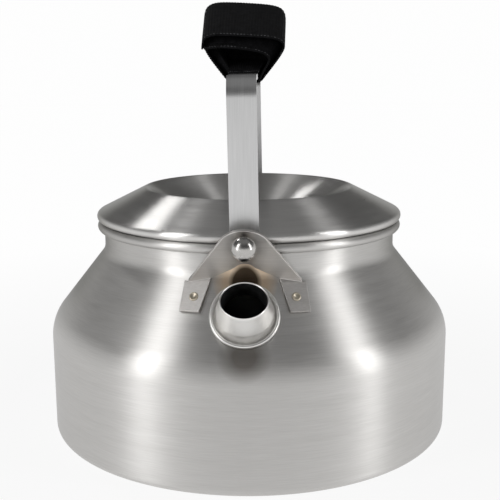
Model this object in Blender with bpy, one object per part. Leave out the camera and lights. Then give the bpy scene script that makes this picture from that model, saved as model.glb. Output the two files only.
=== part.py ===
# Camp kettle: spun steel body and lid, bail with a wound strap grip, short spout.
# Metres, +Z up. Origin: centre of the underside. The spout points along -Y.
# The bail's pivot axis runs along Y, over the spout and over the rear bracket.

from math import atan2, asin, cos, hypot, pi, radians, sin, sqrt, tan

import bmesh
import bpy
import numpy as np
from mathutils import Matrix, Vector

# Body
BODY_RADIUS = 0.0850
SHEET = 0.0008
BASE_CORNER = 0.0035
SHOULDER_TIP = 0.0479       # height where wall and shoulder lines would cross
SHOULDER_ROUND = 0.0185
SHOULDER_SLOPE = radians(51.6)
NECK_RADIUS = 0.0616
NECK_ROUND = 0.0022
NECK_HEIGHT = 0.0119        # from the shoulder's top to the rim's top
RIM_BEAD = 0.0019
RIM_PROUD = 0.0028          # how far the bead stands out from the neck

# Lid
LID_OVERLAP = 0.0002        # how far the lid's edge stands past the rim bead
LID_EDGE = 0.0019
LID_SLOPE = radians(26.5)
RIDGE_RADIUS = 0.0434
RIDGE_ROUND = 0.0026
DISH_SLOPE = radians(33.0)
DISH_ROUND = 0.0080
DISH_DEPTH = 0.0158
SKIRT_DEPTH = 0.0070
SKIRT_CLEAR = 0.0005
SKIRT_FLANGE = 0.0040
KNOB_RADIUS = 0.0095
KNOB_NECK = 0.0035
KNOB_HEIGHT = 0.0078
KNOB_DISC = 0.0038
KNOB_FOOT = 0.0017          # how far the stem's foot spreads
KNOB_FOOT_HEIGHT = 0.0012
KNOB_HOLLOW = 0.0006
KNOB_CROWN = 0.0004
SCREW_RADIUS = 0.0014
SCREW_HEAD = 0.0032
SCREW_HEAD_HEIGHT = 0.0011
SCREW_GRIP = 0.0046

# Bail
STRIP_WIDTH = 0.0106
STRIP = 0.0020
LID_TO_LEG = 0.0014
BAIL_RISE = 0.0590          # from the pivots to the bar's top
BEND_OUTER = 0.0062
PIVOT_ABOVE_RIM = 0.0017

# Brackets
PLATE = 0.0012
BEND_BELOW_NECK = 0.0016
PLATE_ROUND = 0.0093
PLATE_DROP = 0.0008         # centre of the round top below the pivot
PLATE_HALF_FOOT = 0.0209
PLATE_STEP = 0.0014         # where the sloping side stops above the bend
ARCH_DROP = 0.0090          # arch top below the pivot, along the plate
ARCH_ROUND = 0.0040
ARCH_HALF_MID = 0.0084
ARCH_MID_HEIGHT = 0.0026
TAB_BEARING = radians(16.3)
TAB_PAST_PLATE = 0.0013     # how far a foot stands past the plate at the bend
TAB_TOP = (0.0124, PLATE_HALF_FOOT + TAB_PAST_PLATE)
TAB_FLARE = (0.0040, 0.0016)
TAB_BOTTOM = tuple(top + flare for top, flare in zip(TAB_TOP, TAB_FLARE))
TAB_LENGTH = (0.0139, 0.0123)
BEND_ROUND = 0.0011
FOOT_RIVET_DOWN = 0.0074
FOOT_RIVET_OUT = 0.0185
FOOT_SHANK = 0.0010
FOOT_HEAD = 0.0018
FOOT_HEAD_HEIGHT = 0.0005
TAIL_HEAD = 0.0019

# Pivot rivets
PIVOT_BALL = 0.0044
PIVOT_SHANK = 0.0016
PIVOT_TAIL = 0.0030
PIVOT_TAIL_HEIGHT = 0.0007
WASHER_RADIUS = 0.0030

# Spout
SPOUT_BELOW_NECK = 0.0126   # where its axis leaves the shoulder
SPOUT_BORE = 0.0082
SPOUT_WALL = 0.0007
SPOUT_REACH = 0.0103
SPOUT_RISE = radians(47.0)
MOUTH_TILT = radians(56.0)
SPOUT_FLANGE = 0.0129
FLANGE_BEAD = 0.0006
FLANGE_GROOVE = 0.0002
THROAT_REACH = 0.0060

# Strap grip
STRAP_WIDTH = 0.0420
STRAP = 0.0008
STRAP_LEAST_GAP = 0.00042
STRAP_SPARE = 0.0002        # extra room between turns
STRAP_TURNS = (-0.14, 2.249)
FIRST_GROWTH = (0.658, 1.042)
SECOND_GROWTH = (1.663, 1.853)
LOW_CORNER = 0.103
FLANK_BULGE = 0.62
END_CORNER = 0.19           # how much squarer the roll is where the band ends
INNER_FRONT = (0.0156, 0.0118, 0.0096)  # half width, top, height of the widest place
OUTER_FRONT = (0.0168, 0.0161, 0.0097)
TIGHT_BACK = (0.0140, 0.0159, 0.0063)   # at its back edge the roll is wider and taller
INNER_BACK = (0.0158, 0.0275, 0.0053)
OUTER_BACK = (0.0183, 0.0317, 0.0211)
STRAP_FRONT = -0.0245
STRAP_CREEP = 0.0030        # how much further back each turn starts
STRAP_TURN_POINTS = 40
STRAP_NEXT_TURN = 0.0120    # the least travel along the band to another turn

# Clearances
GAP = 0.0003
BORE_CLEAR = 0.0003

# Facets
ROUND_STEPS = 64
SMALL_STEPS = 16
SPOUT_STEPS = 32

SHOULDER_SIN = sin(SHOULDER_SLOPE)
SHOULDER_COS = cos(SHOULDER_SLOPE)
NECK_FOOT = SHOULDER_TIP + (BODY_RADIUS - NECK_RADIUS) * tan(SHOULDER_SLOPE)
RIM_HEIGHT = NECK_FOOT + NECK_HEIGHT
PIVOT_HEIGHT = RIM_HEIGHT + PIVOT_ABOVE_RIM
BAR_TOP = PIVOT_HEIGHT + BAIL_RISE
BEAD_RADIUS = NECK_RADIUS + RIM_PROUD
BEAD_CENTRE = (BEAD_RADIUS - RIM_BEAD, RIM_HEIGHT - RIM_BEAD)
LID_RADIUS = BEAD_RADIUS + LID_OVERLAP
LID_SEAT = RIM_HEIGHT + GAP
LEG_INNER = LID_RADIUS + LID_TO_LEG
LEG_OUTER = LEG_INNER + STRIP
LEG_END = STRIP_WIDTH / 2
BEND_HEIGHT = NECK_FOOT - BEND_BELOW_NECK
BEND_CONE = NECK_RADIUS + BEND_BELOW_NECK / tan(SHOULDER_SLOPE)
TAB_MIDDLE = (TAB_TOP[0] + TAB_TOP[1]) / 2
BEND_OUT = (BEND_CONE + GAP / SHOULDER_SIN - TAB_MIDDLE * sin(TAB_BEARING)) / cos(TAB_BEARING)
PLATE_LEAN = atan2(LEG_OUTER + GAP - BEND_OUT, PIVOT_HEIGHT - LEG_END - BEND_HEIGHT)
PLATE_INNER = LEG_OUTER + GAP + LEG_END * tan(PLATE_LEAN)
WASHER = (LEG_END - WASHER_RADIUS) * tan(PLATE_LEAN) - GAP / cos(PLATE_LEAN)
SPOUT_HEIGHT = NECK_FOOT - SPOUT_BELOW_NECK
SPOUT_FOOT = SPOUT_FLANGE - 2 * FLANGE_BEAD - FLANGE_GROOVE


def clear_scene():
    for old in list(bpy.data.objects):
        bpy.data.objects.remove(old)


def metal(name, colour, roughness):
    material = bpy.data.materials.new(name)
    material.use_nodes = True
    shader = material.node_tree.nodes["Principled BSDF"]
    shader.inputs["Base Color"].default_value = (*colour, 1)
    shader.inputs["Metallic"].default_value = 1
    shader.inputs["Roughness"].default_value = roughness
    return material


def webbing(name):
    material = bpy.data.materials.new(name)
    material.use_nodes = True
    shader = material.node_tree.nodes["Principled BSDF"]
    shader.inputs["Base Color"].default_value = (0.012, 0.012, 0.013, 1)
    shader.inputs["Metallic"].default_value = 0
    shader.inputs["Roughness"].default_value = 0.9
    return material


def place(name, bm, material, sharp=30):
    bmesh.ops.recalc_face_normals(bm, faces=bm.faces)
    mesh = bpy.data.meshes.new(name)
    bm.to_mesh(mesh)
    bm.free()
    mesh.materials.append(material)
    mesh.shade_smooth()
    mesh.set_sharp_from_angle(angle=radians(sharp))
    thing = bpy.data.objects.new(name, mesh)
    bpy.context.collection.objects.link(thing)
    return thing


def arc(centre, radius, start, end, steps):
    angles = [start + (end - start) * i / steps for i in range(steps + 1)]
    return [(centre[0] + radius * cos(a), centre[1] + radius * sin(a)) for a in angles]


def lathe(profile, steps=ROUND_STEPS):
    # The profile is (radius, height), running once round the section.
    bm = bmesh.new()
    verts = [bm.verts.new((r, 0, z)) for r, z in profile]
    edges = [bm.edges.new(pair) for pair in zip(verts, verts[1:])]
    if profile[0][0] > 0:
        edges.append(bm.edges.new((verts[-1], verts[0])))
    bmesh.ops.spin(bm, geom=verts + edges, axis=(0, 0, 1), cent=(0, 0, 0),
                   steps=steps, angle=2 * pi, use_merge=True)
    bmesh.ops.remove_doubles(bm, verts=bm.verts, dist=1e-6)
    return bm


def tube_loft(rings, closed):
    # Rings of equal count; a closed loft joins the last ring to the first.
    bm = bmesh.new()
    rows = [[bm.verts.new(p) for p in ring] for ring in rings]
    count = len(rows[0])
    pairs = list(zip(rows, rows[1:]))
    if closed:
        pairs.append((rows[-1], rows[0]))
    for low, high in pairs:
        for i in range(count):
            j = (i + 1) % count
            bm.faces.new((low[i], low[j], high[j], high[i]))
    if not closed:
        bm.faces.new(rows[0])
        bm.faces.new(list(reversed(rows[-1])))
    return bm


def cut(thing, cutter):
    cutter.hide_render = True
    cutter.display_type = "WIRE"
    modifier = thing.modifiers.new("cut " + cutter.name, "BOOLEAN")
    modifier.operation = "DIFFERENCE"
    modifier.solver = "EXACT"
    modifier.object = cutter


def rod_cutter(name, centre, direction, radius, half_length, steps=SMALL_STEPS):
    bm = bmesh.new()
    bmesh.ops.create_cone(bm, cap_ends=True, segments=steps, radius1=radius,
                          radius2=radius, depth=2 * half_length)
    turn = Vector((0, 0, 1)).rotation_difference(Vector(direction))
    bm.transform(Matrix.Translation(centre) @ turn.to_matrix().to_4x4())
    mesh = bpy.data.meshes.new(name)
    bm.to_mesh(mesh)
    bm.free()
    thing = bpy.data.objects.new(name, mesh)
    bpy.context.collection.objects.link(thing)
    return thing


# The shoulder is a cone; these place things on it.

def shoulder_radius(height):
    return BODY_RADIUS - (height - SHOULDER_TIP) / tan(SHOULDER_SLOPE)


def shoulder_normal(bearing, side=-1):
    # side is -1 at the spout and +1 at the back.
    return Vector((SHOULDER_SIN * sin(bearing), side * SHOULDER_SIN * cos(bearing), SHOULDER_COS))


def above_shoulder(point):
    # Distance from the cone's outside, square to it.
    radial = hypot(point.x, point.y) - shoulder_radius(point.z)
    return radial * SHOULDER_SIN


def settle(point, direction, height):
    # Slide a point along a direction until it lies at a height over the cone.
    for _ in range(6):
        point = point + direction * (height - above_shoulder(point))
    return point


# Body

def body_profile():
    # Outside from the axis up to the rim, then the inside back down.
    turn = pi / 2 - SHOULDER_SLOPE
    reach = SHOULDER_ROUND * tan(turn / 2)
    outer = [(0, 0)]
    outer += arc((BODY_RADIUS - BASE_CORNER, BASE_CORNER), BASE_CORNER, -pi / 2, 0, 4)
    outer += arc((BODY_RADIUS - SHOULDER_ROUND, SHOULDER_TIP - reach), SHOULDER_ROUND, 0, turn, 5)
    lift = NECK_ROUND * tan(turn / 2)
    outer += arc((NECK_RADIUS + NECK_ROUND, NECK_FOOT + lift), NECK_ROUND, pi + turn, pi, 2)
    hang = asin((BEAD_CENTRE[0] - NECK_RADIUS) / RIM_BEAD) - pi / 2
    outer += arc(BEAD_CENTRE, RIM_BEAD, -pi / 2 - (pi / 2 + hang), pi / 2 + 0.6, 9)
    inner = [(NECK_RADIUS - SHEET, RIM_HEIGHT - RIM_BEAD)]
    inside = NECK_ROUND + SHEET
    inner += arc((NECK_RADIUS + NECK_ROUND, NECK_FOOT + lift), inside, pi, pi + turn, 2)
    round_in = SHOULDER_ROUND - SHEET
    inner += arc((BODY_RADIUS - SHOULDER_ROUND, SHOULDER_TIP - reach), round_in, turn, 0, 5)
    corner_in = BASE_CORNER - SHEET
    inner += arc((BODY_RADIUS - BASE_CORNER, BASE_CORNER), corner_in, 0, -pi / 2, 4)
    inner += [(0, SHEET)]
    return outer + inner


def body(material):
    return place("body_shell", lathe(body_profile()), material)


# Spout: rings lofted from a foot that follows the shoulder to a level mouth

def spout_frames():
    foot = Vector((0, -shoulder_radius(SPOUT_HEIGHT), SPOUT_HEIGHT))
    rise = Vector((0, -cos(SPOUT_RISE), sin(SPOUT_RISE)))
    mouth = foot + rise * SPOUT_REACH
    return foot, mouth


def spout_section():
    # (ring radius, share of the way up, height over the shoulder at the foot)
    inner = SPOUT_BORE
    outer = SPOUT_BORE + SPOUT_WALL
    section = [(inner, 0.0, GAP), (inner, 0.30, 0), (inner, 0.65, 0), (inner, 0.97, 0)]
    section += [(inner + SPOUT_WALL * 0.35, 1.03, 0), (outer - SPOUT_WALL * 0.15, 1.02, 0)]
    for i in range(7):
        share = 0.94 * (1 - i / 7)
        flare = (1 - share) ** 2
        section.append((outer + (SPOUT_FOOT - outer) * flare, share, 0))
    top = GAP + SHEET
    section += [(SPOUT_FOOT, 0.0, top), (SPOUT_FLANGE - 2 * FLANGE_BEAD, 0.0, top)]
    section += [(SPOUT_FLANGE - FLANGE_BEAD, 0.0, top + FLANGE_BEAD)]
    section += [(SPOUT_FLANGE, 0.0, top), (SPOUT_FLANGE, 0.0, GAP)]
    return section


def spout(material):
    foot, mouth = spout_frames()
    out = shoulder_normal(0)
    across = Vector((1, 0, 0))
    down_foot = Vector((0, -SHOULDER_COS, -SHOULDER_SIN))
    down_mouth = Vector((0, -sin(MOUTH_TILT), -cos(MOUTH_TILT)))
    rings = []
    for radius, share, height in spout_section():
        centre = foot.lerp(mouth, share)
        down = down_foot.lerp(down_mouth, share).normalized()
        ring = []
        for i in range(SPOUT_STEPS):
            a = 2 * pi * i / SPOUT_STEPS
            spoke = (across * cos(a) + down * sin(a)) * radius
            low = settle(foot + (across * cos(a) + down_foot * sin(a)) * radius, out, height)
            point = centre + spoke
            fade = max(0.0, 1 - share / 0.3) if share > 0 else 1.0
            ring.append(point.lerp(low + out * SHEET * min(1, share * 9), fade ** 2))
        rings.append(ring)
    return place("spout", tube_loft(rings, closed=True), material, sharp=50)


# Brackets: one bent sheet with two feet on the shoulder and a leaning plate

def plate_point(x, up, side):
    # A point of the plate's inner face; up is measured from the pivot along the plate.
    return Vector((x, side * (PLATE_INNER + up * sin(PLATE_LEAN)), PIVOT_HEIGHT + up * cos(PLATE_LEAN)))


def foot_plane(hand, side):
    bearing = hand * TAB_BEARING
    normal = shoulder_normal(bearing, side)
    base = Vector((BEND_CONE * sin(bearing), side * BEND_CONE * cos(bearing), BEND_HEIGHT))
    return base + normal * GAP, normal


def bend_up(x, hand, side):
    # Where the plate meets the foot's plane, measured from the pivot along the plate.
    base, normal = foot_plane(hand, side)
    start = plate_point(x, 0, side)
    step = plate_point(x, 1, side) - start
    return (base - start).dot(normal) / step.dot(normal)


def foot_point(x, down, hand, side):
    # A point of the foot, down the shoulder from the bend.
    base, normal = foot_plane(hand, side)
    start = plate_point(x, bend_up(x, hand, side), side)
    slope = Vector((0, side * SHOULDER_COS, -SHOULDER_SIN))
    slope = (slope - normal * slope.dot(normal)).normalized()
    point = start + slope * down
    point.x = x
    point -= normal * (point - base).dot(normal) / (1 - normal.x ** 2)
    point.x = x
    return point


def plate_outline(side):
    # One side of the plate, from its top down to the bend and back to the arch.
    foot_up = bend_up(PLATE_HALF_FOOT, 1, side) + PLATE_STEP
    span = hypot(PLATE_HALF_FOOT, foot_up + PLATE_DROP)
    tangent = atan2(foot_up + PLATE_DROP, PLATE_HALF_FOOT) + pi / 2 - asin(PLATE_ROUND / span)
    rim = arc((0, -PLATE_DROP), PLATE_ROUND, pi / 2, tangent, 7) + [(PLATE_HALF_FOOT, foot_up)]
    arch_centre = -ARCH_DROP - ARCH_ROUND
    arch = arc((0, arch_centre), ARCH_ROUND, radians(30), pi / 2, 4)
    return rim, arch


def bracket(name, side, material):
    rim, arch = plate_outline(side)
    mid_up = bend_up(ARCH_HALF_MID, 1, side) + ARCH_MID_HEIGHT
    bm = bmesh.new()
    cache = {}

    def vert(point):
        key = tuple(round(c, 7) for c in point)
        if key not in cache:
            cache[key] = bm.verts.new(point)
        return cache[key]

    for hand in (1, -1):
        outer = [vert(plate_point(hand * x, up, side)) for x, up in rim]
        inner = [vert(plate_point(hand * x, up, side)) for x, up in reversed(arch)]
        inner.append(vert(plate_point(hand * ARCH_HALF_MID, mid_up, side)))
        xs = (TAB_TOP[0], PLATE_HALF_FOOT)
        bend = [vert(plate_point(hand * x, bend_up(hand * x, hand, side), side)) for x in xs]
        step = vert(foot_point(hand * TAB_TOP[1], 0, hand, side))
        loop = outer + [bend[1], bend[0]] + list(reversed(inner))
        bm.faces.new(loop if hand * side > 0 else list(reversed(loop)))
        ends = zip(TAB_BOTTOM, TAB_LENGTH)
        low = [vert(foot_point(hand * x, down, hand, side)) for x, down in ends]
        foot = [bend[0], bend[1], step, low[1], low[0]]
        bm.faces.new(foot if hand * side > 0 else list(reversed(foot)))
    edges = [e for e in bm.edges if len(e.link_faces) == 2 and e.calc_face_angle(0) > 0.3]
    bmesh.ops.bevel(bm, geom=edges, offset=BEND_ROUND, segments=3, affect="EDGES")
    bmesh.ops.recalc_face_normals(bm, faces=bm.faces)
    outward = Vector((0, side * cos(PLATE_LEAN), -sin(PLATE_LEAN)))
    plate_face = max(bm.faces, key=lambda f: abs(f.normal.dot(outward)) * f.calc_area())
    if plate_face.normal.dot(outward) < 0:
        bmesh.ops.reverse_faces(bm, faces=bm.faces)
    mesh = bpy.data.meshes.new(name)
    bm.to_mesh(mesh)
    bm.free()
    mesh.materials.append(material)
    mesh.shade_smooth()
    mesh.set_sharp_from_angle(angle=radians(30))
    thing = bpy.data.objects.new(name, mesh)
    bpy.context.collection.objects.link(thing)
    thickness = thing.modifiers.new("sheet", "SOLIDIFY")
    thickness.thickness = PLATE
    thickness.offset = 1
    thickness.solidify_mode = "NON_MANIFOLD"
    thickness.nonmanifold_thickness_mode = "CONSTRAINTS"
    thickness.nonmanifold_merge_threshold = 0.00001
    hole = rod_cutter(name + "_pivot_hole", (0, side * PLATE_INNER, PIVOT_HEIGHT), (0, 1, 0),
                      PIVOT_SHANK + BORE_CLEAR, PLATE * 6)
    cut(thing, hole)
    return thing


def rivet_seat(hand, side):
    # Centre of a foot rivet on the foot's underside, and the way out.
    normal = foot_plane(hand, side)[1]
    return foot_point(hand * FOOT_RIVET_OUT, FOOT_RIVET_DOWN, hand, side), normal


def turned(name, profile, origin, direction, material, steps=SMALL_STEPS):
    bm = lathe(profile, steps)
    turn = Vector((0, 0, 1)).rotation_difference(Vector(direction))
    bm.transform(Matrix.Translation(origin) @ turn.to_matrix().to_4x4())
    return place(name, bm, material, sharp=40)


def foot_rivet(name, hand, side, material, shell, plate):
    seat, normal = rivet_seat(hand, side)
    wall = above_shoulder(seat) + SHEET
    top = PLATE + GAP
    tail = -wall - GAP
    profile = [(0, top + FOOT_HEAD_HEIGHT), (FOOT_HEAD * 0.7, top + FOOT_HEAD_HEIGHT),
               (FOOT_HEAD, top + FOOT_HEAD_HEIGHT * 0.4), (FOOT_HEAD, top),
               (FOOT_SHANK, top), (FOOT_SHANK, tail), (TAIL_HEAD, tail),
               (TAIL_HEAD, tail - FOOT_HEAD_HEIGHT), (0, tail - FOOT_HEAD_HEIGHT)]
    hole = rod_cutter(name + "_hole", seat, normal, FOOT_SHANK + BORE_CLEAR, PLATE * 5)
    cut(shell, hole)
    cut(plate, hole)
    return turned(name, profile, seat, normal, material)


# Bail

def bail_path():
    # Centre line of the strip in (Y, Z), from the front end over to the rear end.
    middle = LEG_INNER + STRIP / 2
    bar = BAR_TOP - STRIP / 2
    bend = BEND_OUTER - STRIP / 2
    ends = [PIVOT_HEIGHT - LEG_END * cos(pi / 2 * i / 6) for i in range(6)]
    front = [(-middle, z) for z in ends]
    front += [(-middle, PIVOT_HEIGHT), (-middle, bar - bend)]
    front += arc((-middle + bend, bar - bend), bend, pi, pi / 2, 6)[1:]
    rear = [(-y, z) for y, z in reversed(front)]
    return front + rear


def bail(material):
    path = bail_path()
    rings = []
    for i, (y, z) in enumerate(path):
        before = path[max(i - 1, 0)]
        after = path[min(i + 1, len(path) - 1)]
        along = Vector((0, after[0] - before[0], after[1] - before[1])).normalized()
        side = Vector((0, -along.z, along.y)) * STRIP / 2
        end = max(0.0, PIVOT_HEIGHT - z)
        half = max(sqrt(max(LEG_END ** 2 - end ** 2, 0)), STRIP * 0.2)
        centre = Vector((0, y, z))
        across = Vector((half, 0, 0))
        rings.append([centre - across - side, centre + across - side,
                      centre + across + side, centre - across + side])
    thing = place("bail_handle", tube_loft(rings, closed=False), material, sharp=25)
    for side, name in ((-1, "front"), (1, "rear")):
        middle = Vector((0, side * (LEG_INNER + STRIP / 2), PIVOT_HEIGHT))
        hole = rod_cutter(name + "_leg_hole", middle, (0, 1, 0), PIVOT_SHANK + BORE_CLEAR, STRIP * 2)
        cut(thing, hole)
    return thing


def pivot_rivet(name, side, material):
    # Height runs outwards from the strip's inner face.
    plate_out = PLATE_INNER + PLATE / cos(PLATE_LEAN)
    ball = plate_out + (PIVOT_BALL + GAP) / cos(PLATE_LEAN) - LEG_INNER
    neck = asin(PIVOT_SHANK / PIVOT_BALL)
    profile = [(0, -GAP - PIVOT_TAIL_HEIGHT), (PIVOT_TAIL * 0.8, -GAP - PIVOT_TAIL_HEIGHT),
               (PIVOT_TAIL, -GAP - PIVOT_TAIL_HEIGHT * 0.5), (PIVOT_TAIL, -GAP), (PIVOT_SHANK, -GAP)]
    profile += arc((0, ball), PIVOT_BALL, neck - pi / 2, pi / 2, 12)
    profile[-1] = (0, ball + PIVOT_BALL)
    origin = (0, side * LEG_INNER, PIVOT_HEIGHT)
    return turned(name, profile, origin, (0, side, 0), material, steps=24)


def pivot_washer(name, side, material):
    bore = PIVOT_SHANK + BORE_CLEAR
    low = LEG_OUTER + GAP
    profile = [(bore, low), (WASHER_RADIUS, low), (WASHER_RADIUS, low + WASHER), (bore, low + WASHER)]
    return turned(name, profile, (0, 0, PIVOT_HEIGHT), (0, side, 0), material)


# Strap: one band wound about two and a half times round the bar

def strap_loops(back):
    # To the band's middle: half width, top and height of the widest place,
    # then half width and height of the flat underside.
    hug = STRIP_WIDTH / 2 + GAP + STRAP / 2 + STRAP_SPARE / 2
    low = STRIP / 2 + GAP + STRAP / 2 + STRAP_SPARE / 4
    pitch = STRAP + STRAP_LEAST_GAP + STRAP_SPARE
    tight = TIGHT_BACK if back else (hug, low, 0)
    inner = INNER_BACK if back else INNER_FRONT
    outer = OUTER_BACK if back else OUTER_FRONT
    under = [(hug + pitch / 2 * i, -low - pitch * i) for i in range(3)]
    return tight + under[0], inner + under[1], outer + under[2]


def ease(value, start, end):
    share = min(max((value - start) / (end - start), 0), 1)
    return share * share * (3 - 2 * share)


def loop_point(angle, loop, square):
    # Angle 0 is the top, then left, bottom and right; square is the corners' power.
    half, top, widest, half_low, low = loop
    side = -1 if sin(angle) > 0 else 1
    if cos(angle) > 0:
        rise = cos(angle) ** square
        return side * half * abs(sin(angle)) ** square, widest + (top - widest) * rise
    drop = abs(cos(angle)) ** LOW_CORNER
    flat = half_low * abs(sin(angle)) ** LOW_CORNER
    bulge = (half - half_low) * (1 - drop ** FLANK_BULGE)
    return side * (flat + bulge), widest + (low - widest) * drop


def smoothed(line):
    inner = [[sum(c) / 4 for c in zip(a, b, b, d)] for a, b, d in zip(line, line[1:], line[2:])]
    return [line[0]] + inner + [line[-1]]


def strap_line(back):
    # Middle line of the winding at its front or back edge, about the bar's middle.
    start, end = STRAP_TURNS
    count = int((end - start) * STRAP_TURN_POINTS)
    loops = strap_loops(back)
    line = []
    for i in range(count + 1):
        turns = start + (end - start) * i / count
        grown = ease(turns, *FIRST_GROWTH) + ease(turns, *SECOND_GROWTH)
        step = min(int(grown), 1)
        share = grown - step
        loop = [a + (b - a) * share for a, b in zip(loops[step], loops[step + 1])]
        square = 0.20 + 0.45 * min(grown, 1) - END_CORNER * ease(turns, 1.9, 2.1)
        x, z = loop_point(2 * pi * turns, loop, square)
        line.append((x, z, turns))
    return smoothed(smoothed(line))


def strap(material):
    bar = BAR_TOP - STRIP / 2
    lines = [strap_line(back) for back in (False, True)]
    sections = [[Vector((x, z)) for x, z, _ in line] for line in lines]
    rings = []
    for i, (_, _, turns) in enumerate(lines[0]):
        corners = []
        for back, points in enumerate(sections):
            along = (points[min(i + 1, len(points) - 1)] - points[max(i - 1, 0)]).normalized()
            side = Vector((-along.y, along.x)) * STRAP / 2
            y = STRAP_FRONT + STRAP_CREEP * turns + STRAP_WIDTH * back
            for offset in (side, -side):
                p = points[i] + offset
                corners.append(Vector((p.x, y, bar + p.y)))
        rings.append([corners[0], corners[1], corners[3], corners[2]])
    print("strap: least gap to itself %.2f mm" % (strap_least_gap(sections[0]) * 1000))
    print("strap: least gap at the back %.2f mm" % (strap_least_gap(sections[1]) * 1000))
    return place("grip_strap", tube_loft(rings, closed=False), material, sharp=40)


def strap_least_gap(points):
    # Between the faces of turns that lie beside each other, measured on the points.
    spots = np.array([tuple(p) for p in points])
    steps = np.hypot(*np.diff(spots, axis=0).T)
    travel = np.concatenate([[0], np.cumsum(steps)])
    apart = np.abs(travel[:, None] - travel[None, :]) > STRAP_NEXT_TURN
    distance = np.hypot(spots[:, None, 0] - spots[None, :, 0], spots[:, None, 1] - spots[None, :, 1])
    return distance[apart].min() - STRAP


# Lid

def lid_lines():
    edge = (LID_RADIUS - LID_EDGE, LID_SEAT + LID_EDGE)
    tip_r = edge[0] + LID_EDGE * sin(LID_SLOPE)
    tip_z = edge[1] + LID_EDGE * cos(LID_SLOPE)
    ridge_z = tip_z + (tip_r - RIDGE_RADIUS) * tan(LID_SLOPE)
    return edge, ridge_z


def fillet(corner, into, out, radius, steps):
    # Rounds a corner between a line coming in and a line going out (unit vectors).
    a = Vector(into)
    b = Vector(out)
    angle = a.angle(b)
    reach = radius * tan(angle / 2)
    start = Vector(corner) - a * reach
    turn = 1 if a.x * b.y - a.y * b.x > 0 else -1
    centre = start + Vector((-a.y, a.x)) * radius * turn
    first = atan2(start.y - centre.y, start.x - centre.x)
    return arc(centre, radius, first, first + turn * angle, steps)


def lid_top(offset):
    # The lid's upper line from the axis out to the edge, pushed down by an offset.
    edge, ridge_z = lid_lines()
    up = (cos(DISH_SLOPE), sin(DISH_SLOPE))
    down = (cos(LID_SLOPE), -sin(LID_SLOPE))
    floor_z = ridge_z - DISH_DEPTH
    foot_r = RIDGE_RADIUS - DISH_DEPTH / tan(DISH_SLOPE)
    line = [(0, floor_z - offset)]
    foot_in = foot_r + offset * tan(DISH_SLOPE / 2)
    line += fillet((foot_in, floor_z - offset), (1, 0), up, DISH_ROUND + offset, 3)
    lean = (DISH_SLOPE - LID_SLOPE) / 2
    drop = offset / cos((DISH_SLOPE + LID_SLOPE) / 2)
    top = (RIDGE_RADIUS + drop * sin(lean), ridge_z - drop * cos(lean))
    line += fillet(top, up, down, RIDGE_ROUND - offset * 0.9, 3)
    return line


def lid_profile():
    edge, _ = lid_lines()
    upper = lid_top(0)
    upper += arc(edge, LID_EDGE, pi / 2 - LID_SLOPE, -pi / 2 - 0.5, 7)
    under = edge[0] - LID_EDGE * 0.95
    end_z = lid_under(under)
    lower = [(under, LID_SEAT + LID_EDGE * 0.6), (under, end_z)]
    return upper + lower + list(reversed(lid_top(SHEET)))


def lid_under(radius):
    # Height of the sloping sheet's underside.
    edge, ridge_z = lid_lines()
    return ridge_z - (radius - RIDGE_RADIUS) * tan(LID_SLOPE) - SHEET / cos(LID_SLOPE)


def lid(material):
    return place("lid_shell", lathe(lid_profile()), material)


def lid_skirt(material):
    outer = NECK_RADIUS - SHEET - SKIRT_CLEAR
    inner = outer - SHEET
    gap = GAP / cos(LID_SLOPE)
    thick = SHEET / cos(LID_SLOPE)
    low = RIM_HEIGHT - SKIRT_DEPTH
    flange = inner - SKIRT_FLANGE
    profile = [(inner, low), (outer, low), (outer, lid_under(outer) - gap),
               (flange, lid_under(flange) - gap), (flange, lid_under(flange) - gap - thick),
               (inner, lid_under(inner) - gap - thick)]
    return place("lid_skirt", lathe(profile), material)


def knob(material, shell):
    floor_z = lid_lines()[1] - DISH_DEPTH
    low = floor_z + GAP
    top = low + KNOB_HEIGHT
    disc = top - KNOB_DISC
    half = KNOB_DISC / 2
    bore = SCREW_RADIUS + BORE_CLEAR
    profile = [(bore, low), (KNOB_NECK + KNOB_FOOT, low), (KNOB_NECK, low + KNOB_FOOT_HEIGHT)]
    profile += [(KNOB_NECK, disc - KNOB_HOLLOW), (KNOB_RADIUS - half, disc)]
    profile += arc((KNOB_RADIUS - half, disc + half), half, -pi / 2, pi / 2, 6)[1:]
    profile += [(0, top + KNOB_CROWN)]
    profile += [(0, low + SCREW_GRIP + GAP), (bore, low + SCREW_GRIP + GAP)]
    profile = profile[-2:] + profile[:-2]
    hole = rod_cutter("knob_hole", (0, 0, floor_z), (0, 0, 1), bore, SHEET * 4)
    cut(shell, hole)
    return place("lid_knob", lathe(profile, 32), material, sharp=40)


def knob_screw(material):
    floor_z = lid_lines()[1] - DISH_DEPTH
    under = floor_z - SHEET - GAP
    head = SCREW_HEAD_HEIGHT
    top = floor_z + GAP + SCREW_GRIP
    profile = [(0, under - head), (SCREW_HEAD * 0.7, under - head), (SCREW_HEAD, under - head * 0.4),
               (SCREW_HEAD, under), (SCREW_RADIUS, under), (SCREW_RADIUS, top), (0, top)]
    return turned("lid_knob_screw", profile, (0, 0, 0), (0, 0, 1), material)


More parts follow.
